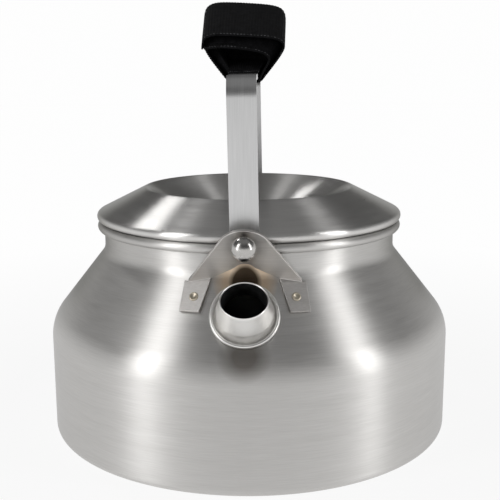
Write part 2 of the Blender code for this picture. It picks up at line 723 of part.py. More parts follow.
def main():
    clear_scene()
    brushed = metal("brushed_steel", (0.62, 0.61, 0.59), 0.32)
    bright = metal("polished_steel", (0.72, 0.71, 0.70), 0.12)
    dull = metal("rivet_metal", (0.60, 0.56, 0.48), 0.40)
    strip = metal("brushed_strip", (0.66, 0.66, 0.67), 0.34)
    black = webbing("black_webbing")

    shell = body(brushed)
    throat = rod_cutter("throat", spout_frames()[0], shoulder_normal(0), SPOUT_BORE, THROAT_REACH,
                        SPOUT_STEPS)
    cut(shell, throat)
    spout(bright)
    for side, end in ((-1, "front"), (1, "rear")):
        plate = bracket(end + "_bracket", side, brushed)
        for hand, which in ((-1, "left"), (1, "right")):
            foot_rivet("%s_%s_foot_rivet" % (end, which), hand, side, dull, shell, plate)
        pivot_rivet(end + "_pivot_rivet", side, bright)
        pivot_washer(end + "_pivot_washer", side, bright)
    bail(strip)
    strap(black)
    top = lid(brushed)
    lid_skirt(brushed)
    knob(bright, top)
    knob_screw(dull)


main()
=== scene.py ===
# A steel camp kettle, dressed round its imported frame.
# Metres, +Z up, origin at the centre of the underside, spout towards -Y.
# Sizes that the part has too are the part's, except where a comment says otherwise.

from math import asin, atan2, cos, hypot, pi, radians, sin, sqrt, tan

import bmesh
import bpy
from mathutils import Matrix, Vector


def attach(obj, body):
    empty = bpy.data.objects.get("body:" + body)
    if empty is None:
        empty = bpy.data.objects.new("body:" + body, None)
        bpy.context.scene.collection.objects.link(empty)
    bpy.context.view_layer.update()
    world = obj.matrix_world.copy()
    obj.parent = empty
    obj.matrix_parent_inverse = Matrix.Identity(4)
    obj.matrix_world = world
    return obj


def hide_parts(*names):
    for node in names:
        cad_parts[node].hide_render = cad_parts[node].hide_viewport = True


# Body
BODY_RADIUS = 0.0850
SHEET = 0.0008
BASE_CORNER = 0.0035
BASE_RING = 0.5             # share of the base's radius where an extra ring lies
WALL_RINGS = (0.012, 0.026)
SHOULDER_TIP = 0.0479       # height where wall and shoulder lines would cross
SHOULDER_ROUND = 0.0185
SHOULDER_SLOPE = radians(51.6)
NECK_RADIUS = 0.0616
NECK_ROUND = 0.0065         # 0.0022 in the part, and softer here as photographed
NECK_HEIGHT = 0.0119        # from the shoulder's top to the rim's top
RIM_BEAD = 0.0019
RIM_PROUD = 0.0028          # how far the bead stands out from the neck
RIM_CURL = 0.6              # how far past its top the bead turns in, in radians

# Lid
LID_OVERLAP = 0.0002        # how far the lid's edge stands past the rim bead
LID_EDGE = 0.0019
LID_CURL = 0.5              # how far past its underside the edge turns in, in radians
LID_LIP = (0.95, 0.60)      # where the turned edge ends inwards and upwards, in edge radii
LID_SLOPE = radians(26.5)
RIDGE_RADIUS = 0.0434
RIDGE_ROUND = 0.0026
RIDGE_INSIDE = 0.9          # how much of the sheet the ridge's inner round gives up
DISH_SLOPE = radians(33.0)
DISH_ROUND = 0.0080
DISH_DEPTH = 0.0158

# Knob
KNOB_RADIUS = 0.0095
KNOB_NECK = 0.0035
KNOB_HEIGHT = 0.0078
KNOB_DISC = 0.0038
KNOB_FOOT = 1.5             # in stem radii
KNOB_CHAMFER = 0.0004
KNOB_STEM_FOOT = ((0.0003, 0.0012), (0, 0.0020))    # past the stem, above the foot
KNOB_STEM_TOP = ((0, 0.0010), (0.0005, 0.0003))     # past the stem, below the disc
KNOB_CROWN = ((0.4, 0.0003), (0, 0.0004))           # share of the radius, above the disc

# Bail
STRIP_WIDTH = 0.0106
STRIP = 0.0020
STRIP_EDGE = 0.0003
LID_TO_LEG = 0.0014
LEG_RINGS = (0.105, 0.125)
LEG_TIP = 0.2               # half width of the leg's last ring, in strip thicknesses
BAIL_RISE = 0.0590          # from the pivots to the bar's top
BEND_OUTER = 0.0080         # 0.0062 in the part, and wider here as its shine shows
PIVOT_ABOVE_RIM = 0.0017
BAIL_LEAN = radians(-0.95)  # only here, the part's bail is upright

# Brackets
PLATE = 0.0012
PLATE_EDGE = 0.00022
BEND_BELOW_NECK = 0.0016
PLATE_ROUND = 0.0093
PLATE_DROP = 0.0008         # centre of the round top below the pivot
PLATE_HALF_FOOT = 0.0209
PLATE_STEP = 0.0014         # where the sloping side stops above the bend
ARCH_DROP = 0.0090          # arch top below the pivot, along the plate
ARCH_ROUND = 0.0040
ARCH_END = radians(30)
ARCH_HALF_MID = 0.0084
ARCH_MID_HEIGHT = 0.0026
TAB_BEARING = radians(16.3)
TAB_PAST_PLATE = 0.0013     # how far a foot stands past the plate at the bend
TAB_TOP = (0.0124, PLATE_HALF_FOOT + TAB_PAST_PLATE)
TAB_FLARE = (0.0040, 0.0016)
TAB_BOTTOM = tuple(top + flare for top, flare in zip(TAB_TOP, TAB_FLARE))
TAB_LENGTH = (0.0139, 0.0123)
BEND_ROUND = 0.0011
LEAST_BEND = 0.3            # edges that turn less than this, in radians, stay as they are
FOOT_RIVET_DOWN = 0.0074
FOOT_RIVET_OUT = 0.0185
FOOT_HEAD = 0.0018
FOOT_HEAD_HEIGHT = 0.0005
# The dished head, in head radii and head heights
FOOT_DISH = ((0, 0.35), (0.45, 0.4), (0.6, 0.85), (0.72, 1), (0.84, 0.85), (0.92, 0.45), (0.95, 0))
FOOT_LIFT = 0.2             # how far the head stands off the plate, in gaps

# Pivot rivets
PIVOT_BALL = 0.0044
PIVOT_SHANK = 0.0016
PIVOT_TAIL = ((0.0024, 0.0007), (0.0029, 0.0004), (0.0030, 0))

# Spout
SPOUT_BELOW_NECK = 0.0126   # where its axis leaves the shoulder
SPOUT_BORE = 0.0082
SPOUT_WALL = 0.0007
SPOUT_REACH = 0.0103
SPOUT_RISE = radians(47.0)
MOUTH_TILT = radians(56.0)
SPOUT_FLANGE = 0.0129
FLANGE_BEAD = 0.0006
FLANGE_GROOVE = 0.0002
FLANGE_FADE = 0.3           # share of the spout over which the flange's cone turns into the tube
FLANGE_LIFT = 9             # how fast the flare's foot rises by the sheet's thickness
BORE_RINGS = (0.15, 0.30, 0.65, 0.97)
MOUTH_LIP = ((0.2, 1.01), (0.5, 1.03), (0.8, 1.015), (1, 0.98))     # share of the wall, of the reach
FLARE_STEPS = 16
FLARE_TOP = 0.94
FLARE_POWER = 1.35
FLARE_LINE = 0.00025
FLARE_LINES = (12, 14)      # the steps with a fine turned ring
THROAT_CLEAR = 0.0006
THROAT_DEPTH = 0.012

# Strap grip. As photographed, its turns lie closer together than the part's, and sag.
STRAP_WIDTH = 0.0420
STRAP = 0.0008
STRAP_BETWEEN = 0.0001      # between two turns
STRAP_TURNS = (-0.14, 2.249)
FIRST_GROWTH = (0.658, 1.042)
SECOND_GROWTH = (1.663, 1.853)
LOW_CORNER = 0.103
FLANK_BULGE = 0.80          # 0.62 in the part
CORNERS = (0.20, 0.45)      # how round the first turn is, and how much rounder the next
END_CORNER = 0.19           # how much squarer the roll is where the band ends
END_TURNS = (1.72, 1.88)    # turns between which it gets squarer
INNER_FRONT = (0.0156, 0.0118, 0.0096)  # half width, top, height of the widest place
OUTER_FRONT = (0.0168, 0.0168, 0.0097)  # its top is 0.0161 in the part
TIGHT_BACK = (0.0140, 0.0159, 0.0063)   # at its back edge the roll is wider and taller
INNER_BACK = (0.0158, 0.0275, 0.0053)
OUTER_BACK = (0.0183, 0.0317, 0.0211)
STRAP_FRONT = -0.0245
STRAP_CREEP = 0.0030        # how much further back each turn starts
STRAP_SAG = 0.075           # slope of the sag to the right
STRAP_SAG_FROM = 0.014      # it begins this far to the left, and is full this far up
TURN_POINTS = 40
CURVE_STEPS = 8
STRAP_ACROSS = 24
RIB_PITCH = 0.0012
RIB_HEIGHT = 0.00014
RIB_STEPS = 5
LAYERS_FROM = 0.12          # turns at which the pressed layers begin
LAYERS_DEPTH = (0.10, 0.97)
CORE_DEPTH = (0.30, 0.60)
STITCH_PITCH = 0.0014
STITCH_IN = 0.0007
STITCH_WIDTH = 0.0007
THREAD_PITCH = 0.0007
WEBBING_COLOURS = ((0.001, 0.001, 0.0012), (0.012, 0.012, 0.0135))
STITCH_COLOUR = (0.16, 0.16, 0.17)

# Clearance
GAP = 0.0003

# Worked out from the above
SHOULDER_SIN = sin(SHOULDER_SLOPE)
SHOULDER_COS = cos(SHOULDER_SLOPE)
NECK_FOOT = SHOULDER_TIP + (BODY_RADIUS - NECK_RADIUS) * tan(SHOULDER_SLOPE)
RIM_HEIGHT = NECK_FOOT + NECK_HEIGHT
PIVOT_HEIGHT = RIM_HEIGHT + PIVOT_ABOVE_RIM
BAR_TOP = PIVOT_HEIGHT + BAIL_RISE
BEAD_RADIUS = NECK_RADIUS + RIM_PROUD
BEAD_CENTRE = (BEAD_RADIUS - RIM_BEAD, RIM_HEIGHT - RIM_BEAD)
LID_RADIUS = BEAD_RADIUS + LID_OVERLAP
LID_SEAT = RIM_HEIGHT + GAP
LEG_INNER = LID_RADIUS + LID_TO_LEG
LEG_OUTER = LEG_INNER + STRIP
LEG_END = STRIP_WIDTH / 2
BEND_HEIGHT = NECK_FOOT - BEND_BELOW_NECK
BEND_CONE = NECK_RADIUS + BEND_BELOW_NECK / tan(SHOULDER_SLOPE)
TAB_MIDDLE = (TAB_TOP[0] + TAB_TOP[1]) / 2
BEND_OUT = (BEND_CONE + GAP / SHOULDER_SIN - TAB_MIDDLE * sin(TAB_BEARING)) / cos(TAB_BEARING)
PLATE_LEAN = atan2(LEG_OUTER + GAP - BEND_OUT, PIVOT_HEIGHT - LEG_END - BEND_HEIGHT)
PLATE_INNER = LEG_OUTER + GAP + LEG_END * tan(PLATE_LEAN)
SPOUT_HEIGHT = NECK_FOOT - SPOUT_BELOW_NECK
SPOUT_FOOT = SPOUT_FLANGE - 2 * FLANGE_BEAD - FLANGE_GROOVE

# The photograph's camera, fitted to the outlines
FOCAL_PX = 911.8
FRAME_PX = 500
CAMERA_BACK = 0.3888
CAMERA_HEIGHT = 0.1542
CAMERA_PITCH = radians(11.6)
CAMERA_ROLL = radians(-0.25)
CAMERA_AROUND = radians(1.35)
CAMERA_YAW = radians(-0.06)

# Brushed steel. Grain is across the lines, and streak along them.
TURNED_GRAIN = 3600.0
TURNED_STREAK = 9.0
LINED_GRAIN = 2600.0
LINED_STREAK = 60.0
LINED_DEPTH = 0.00001
FINE_SHARE = 0.6
CLOUDS = 420.0
SPECKS = 2600.0
# Painted shade: turned steel seen edge-on goes from light to dark between these heights, so the upper
# shoulder, the neck and the lid show darker edges
EDGE_HEIGHTS = (0.046, 0.062)
EDGE_SHADE_TINTS = ((0.85, 0.85, 0.85), (0.36, 0.36, 0.35))

# Painted shade and reflection on the wall: centre, then full radius, fading radius, share and colour of
# each painted spot
# Under the front bracket's arch: painted shade in the middle, inside a wider ring of painted beige
# reflection
ARCH_SHADE_SPOT = (0, -NECK_RADIUS - 0.003, NECK_FOOT - 0.0010)
ARCH_SHADE_AND_REFLECTION = ((0.0080, 0.0125, 1, (0.86, 0.70, 0.53)), (0.0048, 0.0066, 1, (0.09, 0.066, 0.045)))
# Just below the spout's flange: painted shade
SPOUT_SHADE_SPOT = (0, -BODY_RADIUS + 0.0035, SHOULDER_TIP + 0.0048)
SPOUT_SHADE = ((0.004, 0.0100, 0.75, (0.17, 0.15, 0.13)),)

# Stage
STAGE_RADIUS = 3.0
STAGE_HEIGHT = 0.9
FLOOR_WHITE = ((0.90, 0.985), (0.12, 0.40))     # shares, and the radii between which they change
WALL_WHITE = ((0.985, 0.40), (0.0, 0.30))       # shares, and the heights over the wall's middle
SOFTBOX_DISTANCE = 1.0
SOFTBOX_CENTRE = 0.05
# The room's strength: two values, and the two sines of elevation between which it changes
LOW_ROOM = (0.14, 0.0, 0.15, 0.55)
HIGH_ROOM = (0.11, 0.25, 0.70, 0.93)
# Azimuth and elevation in degrees, width, height, radiance
SOFTBOXES = {
    "left_softbox": (-56, 25, 0.25, 0.90, 4.5),
    "right_softbox": (68, 24, 0.19, 0.90, 4.9),
    "side_softbox": (-138, 46.5, 0.14, 0.18, 9.0),
}


def shader_of(material):
    return material.node_tree.nodes["Principled BSDF"]


def new_material(name, colour, metallic, roughness):
    material = bpy.data.materials.new(name)
    material.use_nodes = True
    shader = shader_of(material)
    shader.inputs["Base Color"].default_value = (*colour, 1)
    shader.inputs["Metallic"].default_value = metallic
    shader.inputs["Roughness"].default_value = roughness
    return material


class Nodes:
    """Short calls for building a node tree."""

    def __init__(self, tree):
        self.tree = tree

    def add(self, kind, **settings):
        node = self.tree.nodes.new("ShaderNode" + kind)
        for key, value in settings.items():
            setattr(node, key, value)
        return node

    def link(self, source, target):
        self.tree.links.new(source, target)

    def feed(self, node, socket, value):
        target = node.inputs[socket]
        if isinstance(value, bpy.types.NodeSocket):
            self.link(value, target)
        else:
            target.default_value = value

    def math(self, operation, a, b=0.0):
        node = self.add("Math", operation=operation)
        self.feed(node, 0, a)
        self.feed(node, 1, b)
        return node.outputs[0]

    def combine(self, x, y, z):
        node = self.add("CombineXYZ")
        for i, value in enumerate((x, y, z)):
            self.feed(node, i, value)
        return node.outputs[0]

    def position(self):
        node = self.add("SeparateXYZ")
        self.link(self.add("TexCoord").outputs["Object"], node.inputs[0])
        return node.outputs

    def radius(self):
        x, y, z = self.position()
        squares = self.math("ADD", self.math("MULTIPLY", x, x), self.math("MULTIPLY", y, y))
        return self.math("SQRT", squares)

    def height(self):
        return self.position()[2]

    def noise(self, vector, scale, detail, w=None):
        node = self.add("TexNoise", noise_dimensions="3D" if w is None else "4D")
        self.link(vector, node.inputs["Vector"])
        node.inputs["Scale"].default_value = scale
        node.inputs["Detail"].default_value = detail
        if w is not None:
            self.feed(node, "W", w)
        return node.outputs["Fac"]

    def spread(self, value, low, high, start, end):
        # Runs from low to high while the value runs from start to end.
        node = self.add("MapRange")
        self.feed(node, "Value", value)
        for key, number in (("From Min", start), ("From Max", end), ("To Min", low), ("To Max", high)):
            node.inputs[key].default_value = number
        return node.outputs["Result"]

    def tint(self, factor, dark, light):
        node = self.add("Mix", data_type="RGBA")
        self.feed(node, 0, factor)
        node.inputs[6].default_value = (*dark, 1)
        node.inputs[7].default_value = (*light, 1)
        return node.outputs[2]

    def blend(self, first, second, share):
        rest = self.math("MULTIPLY", second, 1 - share)
        return self.math("ADD", self.math("MULTIPLY", first, share), rest)

    def bump(self, height, strength, distance, shader):
        node = self.add("Bump")
        node.inputs["Strength"].default_value = strength
        node.inputs["Distance"].default_value = distance
        self.link(height, node.inputs["Height"])
        self.link(node.outputs[0], shader.inputs["Normal"])


def brush(shader, nodes, value, colours, roughness, ends):
    # Colour and roughness follow the value.
    light, dark = colours
    colour = nodes.tint(nodes.spread(value, 0, 1, *ends), dark, light)
    nodes.link(colour, shader.inputs["Base Color"])
    nodes.link(nodes.spread(value, *roughness, *ends), shader.inputs["Roughness"])


def turned_steel(name, light, dark, roughness, anisotropy, depth):
    # Brushed round the Z axis: fine lines that run round, long against their width.
    material = new_material(name, light, 1, roughness)
    shader = shader_of(material)
    nodes = Nodes(material.node_tree)
    x, y, z = nodes.position()
    radius = nodes.radius()
    safe = nodes.math("MAXIMUM", radius, 0.001)
    east = nodes.math("MULTIPLY", nodes.math("DIVIDE", x, safe), TURNED_STREAK)
    north = nodes.math("MULTIPLY", nodes.math("DIVIDE", y, safe), TURNED_STREAK)
    around = nodes.combine(east, north, nodes.math("MULTIPLY", radius, TURNED_GRAIN))
    fine = nodes.noise(around, 1.0, 3.0, w=nodes.math("MULTIPLY", z, TURNED_GRAIN))
    slow = nodes.combine(nodes.math("MULTIPLY", east, 0.3), nodes.math("MULTIPLY", north, 0.3),
                         nodes.math("MULTIPLY", radius, TURNED_GRAIN * 0.1))
    broad = nodes.noise(slow, 1.0, 2.0, w=nodes.math("MULTIPLY", z, TURNED_GRAIN * 0.1))
    both = nodes.blend(fine, broad, FINE_SHARE)
    brush(shader, nodes, both, (light, dark), (roughness - 0.04, roughness + 0.05), (0.3, 0.7))
    nodes.bump(fine, 0.35, depth, shader)
    tangent = nodes.add("Tangent", direction_type="RADIAL", axis="Z")
    nodes.link(tangent.outputs[0], shader.inputs["Tangent"])
    # Painted shade on the edge-on shine, darker higher up
    edge = nodes.tint(nodes.spread(z, 0, 1, *EDGE_HEIGHTS), *EDGE_SHADE_TINTS)
    nodes.link(edge, shader.inputs["Specular Tint"])
    shader.inputs["Anisotropic"].default_value = anisotropy
    shader.inputs["Anisotropic Rotation"].default_value = 0.25
    return material


def lined_steel(name, light, dark, roughness, along):
    # Brushed straight: along holds the numbers of the axes that the lines follow.
    material = new_material(name, light, 1, roughness)
    shader = shader_of(material)
    nodes = Nodes(material.node_tree)
    place = nodes.position()
    scales = [LINED_STREAK if i in along else LINED_GRAIN for i in range(3)]
    thin = [nodes.math("MULTIPLY", place[i], scales[i]) for i in range(3)]
    fine = nodes.noise(nodes.combine(*thin), 1.0, 3.0)
    scales = [LINED_STREAK * 0.5 if i in along else LINED_GRAIN * 0.12 for i in range(3)]
    wide = [nodes.math("MULTIPLY", place[i], scales[i]) for i in range(3)]
    broad = nodes.noise(nodes.combine(*wide), 1.0, 2.0)
    both = nodes.blend(fine, broad, FINE_SHARE)
    brush(shader, nodes, both, (light, dark), (roughness - 0.05, roughness + 0.05), (0.3, 0.7))
    nodes.bump(fine, 0.3, LINED_DEPTH, shader)
    return material


def bright_steel(name, light, dark, roughness):
    # Bare of lines, a little cloudy and scuffed.
    material = new_material(name, light, 1, roughness)
    shader = shader_of(material)
    nodes = Nodes(material.node_tree)
    place = nodes.add("TexCoord").outputs["Object"]
    cloud = nodes.noise(place, CLOUDS, 3.0)
    scuff = nodes.noise(place, SPECKS, 2.0)
    brush(shader, nodes, cloud, (light, dark), (roughness, roughness + 0.08), (0.35, 0.65))
    nodes.bump(scuff, 0.15, 0.000006, shader)
    return material


def lay_painted_light(material, centre, painted_spots):
    # Lays painted shade and painted reflection over the steel's colour, round a point.
    nodes = Nodes(material.node_tree)
    target = shader_of(material).inputs["Base Color"]
    plain = target.links[0].from_socket
    place = [nodes.math("SUBTRACT", a, b) for a, b in zip(nodes.position(), centre)]
    reach = nodes.add("VectorMath", operation="LENGTH")
    nodes.link(nodes.combine(*place), reach.inputs[0])
    for near, far, share, colour in painted_spots:
        mix = nodes.add("Mix", data_type="RGBA")
        nodes.link(nodes.spread(reach.outputs["Value"], share, 0, near, far), mix.inputs[0])
        nodes.link(plain, mix.inputs[6])
        mix.inputs[7].default_value = (*colour, 1)
        plain = mix.outputs[2]
    nodes.link(plain, target)


def finish_mesh(name, bm, material, body, replaced, sharp=30):
    bmesh.ops.recalc_face_normals(bm, faces=bm.faces)
    mesh = bpy.data.meshes.new(name)
    bm.to_mesh(mesh)
    bm.free()
    mesh.materials.append(material)
    mesh.shade_smooth()
    mesh.set_sharp_from_angle(angle=radians(sharp))
    piece = bpy.data.objects.new(name, mesh)
    bpy.context.collection.objects.link(piece)
    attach(piece, body)
    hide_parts(replaced)
    return piece


def arc(centre, radius, start, end, steps):
    angles = [start + (end - start) * i / steps for i in range(steps + 1)]
    return [(centre[0] + radius * cos(a), centre[1] + radius * sin(a)) for a in angles]


def lathe(profile, steps=256):
    bm = bmesh.new()
    verts = [bm.verts.new((r, 0, z)) for r, z in profile]
    edges = [bm.edges.new(pair) for pair in zip(verts, verts[1:])]
    if profile[0][0] > 0:
        edges.append(bm.edges.new((verts[-1], verts[0])))
    bmesh.ops.spin(bm, geom=verts + edges, axis=(0, 0, 1), cent=(0, 0, 0),
                   steps=steps, angle=2 * pi, use_merge=True)
    bmesh.ops.remove_doubles(bm, verts=bm.verts, dist=1e-6)
    return bm


def loft(rings, closed):
    bm = bmesh.new()
    rows = [[bm.verts.new(p) for p in ring] for ring in rings]
    count = len(rows[0])
    pairs = list(zip(rows, rows[1:]))
    if closed:
        pairs.append((rows[-1], rows[0]))
    for low, high in pairs:
        for i in range(count):
            j = (i + 1) % count
            bm.faces.new((low[i], low[j], high[j], high[i]))
    if not closed:
        bm.faces.new(rows[0])
        bm.faces.new(list(reversed(rows[-1])))
    return bm


def soften(piece, width, segments=2):
    bevel = piece.modifiers.new("soft edges", "BEVEL")
    bevel.width = width
    bevel.segments = segments
    bevel.limit_method = "ANGLE"
    bevel.angle_limit = radians(35)
    bevel.harden_normals = True


# Body

def body_profile():
    turn = pi / 2 - SHOULDER_SLOPE
    reach = SHOULDER_ROUND * tan(turn / 2)
    outer = [(0, 0), (BODY_RADIUS * BASE_RING, 0)]
    outer += arc((BODY_RADIUS - BASE_CORNER, BASE_CORNER), BASE_CORNER, -pi / 2, 0, 10)
    outer += [(BODY_RADIUS, z) for z in WALL_RINGS]
    outer += arc((BODY_RADIUS - SHOULDER_ROUND, SHOULDER_TIP - reach), SHOULDER_ROUND, 0, turn, 18)
    lift = NECK_ROUND * tan(turn / 2)
    outer += arc((NECK_RADIUS + NECK_ROUND, NECK_FOOT + lift), NECK_ROUND, pi + turn, pi, 8)
    inwards = asin((BEAD_CENTRE[0] - NECK_RADIUS) / RIM_BEAD)
    outer += arc(BEAD_CENTRE, RIM_BEAD, -pi / 2 - inwards, pi / 2 + RIM_CURL, 24)
    inner = [(NECK_RADIUS - SHEET, RIM_HEIGHT - RIM_BEAD)]
    inner += arc((NECK_RADIUS + NECK_ROUND, NECK_FOOT + lift), NECK_ROUND + SHEET, pi, pi + turn, 6)
    inner += arc((BODY_RADIUS - SHOULDER_ROUND, SHOULDER_TIP - reach), SHOULDER_ROUND - SHEET, turn, 0, 12)
    inner += arc((BODY_RADIUS - BASE_CORNER, BASE_CORNER), BASE_CORNER - SHEET, 0, -pi / 2, 6)
    inner += [(0, SHEET)]
    return outer + inner


def shoulder_radius(height):
    return BODY_RADIUS - (height - SHOULDER_TIP) / tan(SHOULDER_SLOPE)


def shoulder_normal(bearing, side=-1):
    return Vector((SHOULDER_SIN * sin(bearing), side * SHOULDER_SIN * cos(bearing), SHOULDER_COS))


def above_shoulder(point):
    return (hypot(point.x, point.y) - shoulder_radius(point.z)) * SHOULDER_SIN


def settle(point, direction, height, rounds=6):
    # Moves a point along a direction until it is at the height over the shoulder.
    for _ in range(rounds):
        point = point + direction * (height - above_shoulder(point))
    return point


def throat_cutter():
    bm = bmesh.new()
    bmesh.ops.create_cone(bm, cap_ends=True, segments=128, radius1=SPOUT_BORE + THROAT_CLEAR,
                          radius2=SPOUT_BORE + THROAT_CLEAR, depth=THROAT_DEPTH)
    turn = Vector((0, 0, 1)).rotation_difference(shoulder_normal(0))
    place = Matrix.Translation((0, -shoulder_radius(SPOUT_HEIGHT), SPOUT_HEIGHT))
    bm.transform(place @ turn.to_matrix().to_4x4())
    mesh = bpy.data.meshes.new("throat")
    bm.to_mesh(mesh)
    bm.free()
    thing = bpy.data.objects.new("throat", mesh)
    bpy.context.collection.objects.link(thing)
    return thing


def bake_modifiers(piece):
    graph = bpy.context.evaluated_depsgraph_get()
    mesh = bpy.data.meshes.new_from_object(piece.evaluated_get(graph))
    piece.modifiers.clear()
    piece.data = mesh


def body(material):
    shape = lathe(body_profile())
    piece = finish_mesh("kettle_body", shape, material, "kettle", "body_shell")
    cutter = throat_cutter()
    hole = piece.modifiers.new("throat", "BOOLEAN")
    hole.operation = "DIFFERENCE"
    hole.solver = "EXACT"
    hole.object = cutter
    bake_modifiers(piece)
    bpy.data.objects.remove(cutter)


# Lid

def lid_lines():
    # The middle of the round edge, and the height where the lid's and the dish's slopes cross.
    edge = (LID_RADIUS - LID_EDGE, LID_SEAT + LID_EDGE)
    tip_r = edge[0] + LID_EDGE * sin(LID_SLOPE)
    tip_z = edge[1] + LID_EDGE * cos(LID_SLOPE)
    return edge, tip_z + (tip_r - RIDGE_RADIUS) * tan(LID_SLOPE)


def fillet(corner, into, out, radius, steps):
    a = Vector(into)
    b = Vector(out)
    angle = a.angle(b)
    start = Vector(corner) - a * radius * tan(angle / 2)
    turn = 1 if a.x * b.y - a.y * b.x > 0 else -1
    centre = start + Vector((-a.y, a.x)) * radius * turn
    first = atan2(start.y - centre.y, start.x - centre.x)
    return arc(centre, radius, first, first + turn * angle, steps)


def lid_top(offset):
    ridge_z = lid_lines()[1]
    up = (cos(DISH_SLOPE), sin(DISH_SLOPE))
    down = (cos(LID_SLOPE), -sin(LID_SLOPE))
    floor_z = ridge_z - DISH_DEPTH
    foot_r = RIDGE_RADIUS - DISH_DEPTH / tan(DISH_SLOPE)
    line = [(0, floor_z - offset)]
    foot_in = foot_r + offset * tan(DISH_SLOPE / 2)
    line += fillet((foot_in, floor_z - offset), (1, 0), up, DISH_ROUND + offset, 12)
    lean = (DISH_SLOPE - LID_SLOPE) / 2
    drop = offset / cos((DISH_SLOPE + LID_SLOPE) / 2)
    top = (RIDGE_RADIUS + drop * sin(lean), ridge_z - drop * cos(lean))
    return line + fillet(top, up, down, RIDGE_ROUND - offset * RIDGE_INSIDE, 12)


def lid_under(radius):
    return lid_lines()[1] - (radius - RIDGE_RADIUS) * tan(LID_SLOPE) - SHEET / cos(LID_SLOPE)


def lid(material):
    edge = lid_lines()[0]
    under = edge[0] - LID_EDGE * LID_LIP[0]
    profile = lid_top(0) + arc(edge, LID_EDGE, pi / 2 - LID_SLOPE, -pi / 2 - LID_CURL, 18)
    profile += [(under, LID_SEAT + LID_EDGE * LID_LIP[1]), (under, lid_under(under))]
    profile += list(reversed(lid_top(SHEET)))
    finish_mesh("lid_cover", lathe(profile), material, "lid", "lid_shell")


def knob(material):
    low = lid_lines()[1] - DISH_DEPTH + GAP
    top = low + KNOB_HEIGHT
    half = KNOB_DISC / 2
    disc = top - KNOB_DISC
    foot = KNOB_NECK * KNOB_FOOT
    profile = [(0, low), (foot - KNOB_CHAMFER, low), (foot, low + KNOB_CHAMFER)]
    profile += [(KNOB_NECK + past, low + up) for past, up in KNOB_STEM_FOOT]
    profile += [(KNOB_NECK + past, disc - down) for past, down in KNOB_STEM_TOP]
    profile.append((KNOB_RADIUS - half, disc))
    profile += arc((KNOB_RADIUS - half, disc + half), half, -pi / 2, pi / 2, 14)[1:]
    profile += [(KNOB_RADIUS * share, top + up) for share, up in KNOB_CROWN]
    finish_mesh("lid_grip", lathe(profile, 96), material, "lid", "lid_knob", sharp=50)


# Spout

def spout_section():
    # The wall's outline, from the bore's foot round the mouth to the flange: radius, share of the
    # reach and height over the shoulder.
    outer = SPOUT_BORE + SPOUT_WALL
    section = [(SPOUT_BORE, 0.0, GAP)] + [(SPOUT_BORE, share, 0) for share in BORE_RINGS]
    section += [(SPOUT_BORE + SPOUT_WALL * part, share, 0) for part, share in MOUTH_LIP]
    for i in range(FLARE_STEPS):
        share = FLARE_TOP * (1 - i / FLARE_STEPS)
        flare = (1 - share) ** FLARE_POWER
        line = FLARE_LINE if i in FLARE_LINES else 0
        section.append((outer + (SPOUT_FOOT - outer) * flare - line, share, 0))
    top = GAP + SHEET
    section += [(SPOUT_FOOT, 0.0, top), (SPOUT_FLANGE - 2 * FLANGE_BEAD, 0.0, top)]
    bead = arc((SPOUT_FLANGE - FLANGE_BEAD, top), FLANGE_BEAD, pi, 0, 8)
    section += [(radius, 0.0, height) for radius, height in bead[1:-1]]
    section += [(SPOUT_FLANGE, 0.0, top), (SPOUT_FLANGE, 0.0, GAP)]
    return section


def spout(material, bore_material, steps=128):
    foot = Vector((0, -shoulder_radius(SPOUT_HEIGHT), SPOUT_HEIGHT))
    mouth = foot + Vector((0, -cos(SPOUT_RISE), sin(SPOUT_RISE))) * SPOUT_REACH
    out = shoulder_normal(0)
    across = Vector((1, 0, 0))
    down_foot = Vector((0, -SHOULDER_COS, -SHOULDER_SIN))
    down_mouth = Vector((0, -sin(MOUTH_TILT), -cos(MOUTH_TILT)))
    rings = []
    for radius, share, height in spout_section():
        centre = foot.lerp(mouth, share)
        down = down_foot.lerp(down_mouth, share).normalized()
        fade = max(0.0, 1 - share / FLANGE_FADE)
        lift = out * SHEET * min(1, share * FLANGE_LIFT)
        ring = []
        for i in range(steps):
            a = 2 * pi * i / steps
            point = centre + (across * cos(a) + down * sin(a)) * radius
            low = settle(foot + (across * cos(a) + down_foot * sin(a)) * radius, out, height)
            ring.append(point.lerp(low + lift, fade ** 2))
        rings.append(ring)
    shape = loft(rings, closed=True)
    piece = finish_mesh("spout_tube", shape, material, "kettle", "spout", sharp=60)
    # The bore's faces take the second steel, painted dark for the shade inside the spout
    piece.data.materials.append(bore_material)
    for face in piece.data.polygons[:len(BORE_RINGS) * steps]:
        face.material_index = 1


# Brackets

def plate_point(x, up, side):
    return Vector((x, side * (PLATE_INNER + up * sin(PLATE_LEAN)), PIVOT_HEIGHT + up * cos(PLATE_LEAN)))


def foot_plane(hand, side):
    bearing = hand * TAB_BEARING
    normal = shoulder_normal(bearing, side)
    base = Vector((BEND_CONE * sin(bearing), side * BEND_CONE * cos(bearing), BEND_HEIGHT))
    return base + normal * GAP, normal


def bend_up(x, hand, side):
    base, normal = foot_plane(hand, side)
    start = plate_point(x, 0, side)
    step = plate_point(x, 1, side) - start
    return (base - start).dot(normal) / step.dot(normal)


def foot_point(x, down, hand, side):
    base, normal = foot_plane(hand, side)
    start = plate_point(x, bend_up(x, hand, side), side)
    slope = Vector((0, side * SHOULDER_COS, -SHOULDER_SIN))
    slope = (slope - normal * slope.dot(normal)).normalized()
    point = start + slope * down
    point.x = x
    point -= normal * (point - base).dot(normal) / (1 - normal.x ** 2)
    point.x = x
    return point


